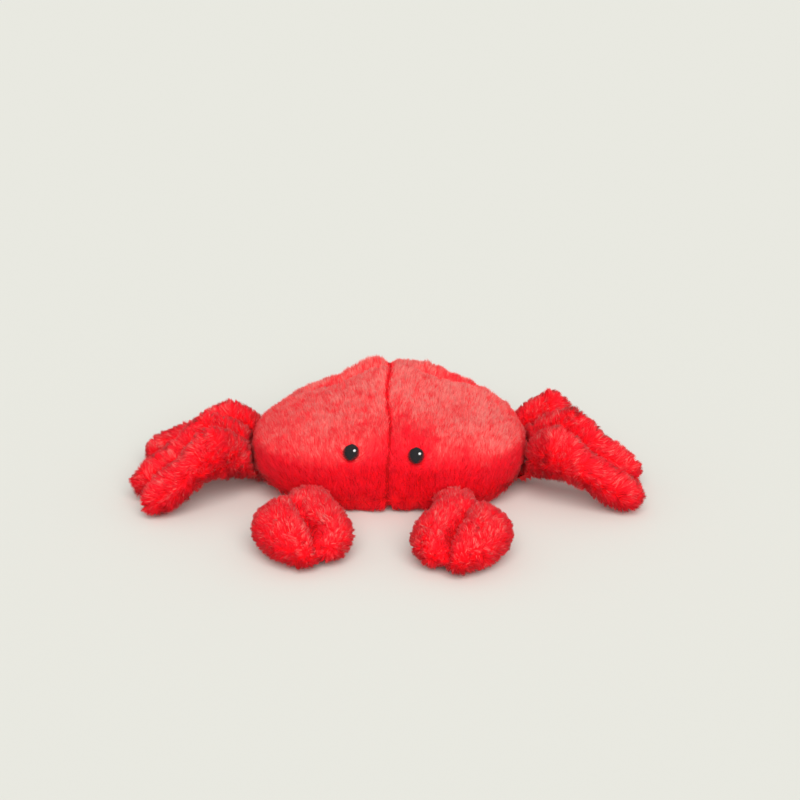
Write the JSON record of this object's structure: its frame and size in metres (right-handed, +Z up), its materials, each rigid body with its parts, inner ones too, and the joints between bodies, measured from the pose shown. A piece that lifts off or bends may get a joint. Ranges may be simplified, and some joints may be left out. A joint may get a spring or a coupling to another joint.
{
  "type": "plush crab",
  "caption": "Stuffed plush crab lying on its belly, with bent soft legs, mitten claws and embroidered eyes.",
  "frame": {"origin": "middle of the crab's footprint, on the surface that it lies on", "axes": "+X to the crab's left, along its widest reach from leg tip to leg tip; -Y out of its face; +Z up"},
  "size_m": [0.316, 0.2324, 0.0589],
  "materials": {
    "red_plush": "short fluffy pile",
    "black_thread": "satin embroidery",
    "white_thread": "satin embroidery"
  },
  "bodies": {
    "root": {"body": "red_plush", "claw_left": "red_plush", "claw_right": "red_plush", "leg_front_left": "red_plush", "leg_middle_left": "red_plush", "leg_rear_left": "red_plush", "leg_front_right": "red_plush", "leg_middle_right": "red_plush", "leg_rear_right": "red_plush", "eye_left": "black_thread", "eye_right": "black_thread", "eye_highlight_left": "white_thread", "eye_highlight_right": "white_thread"}
  },
  "joints": []
}
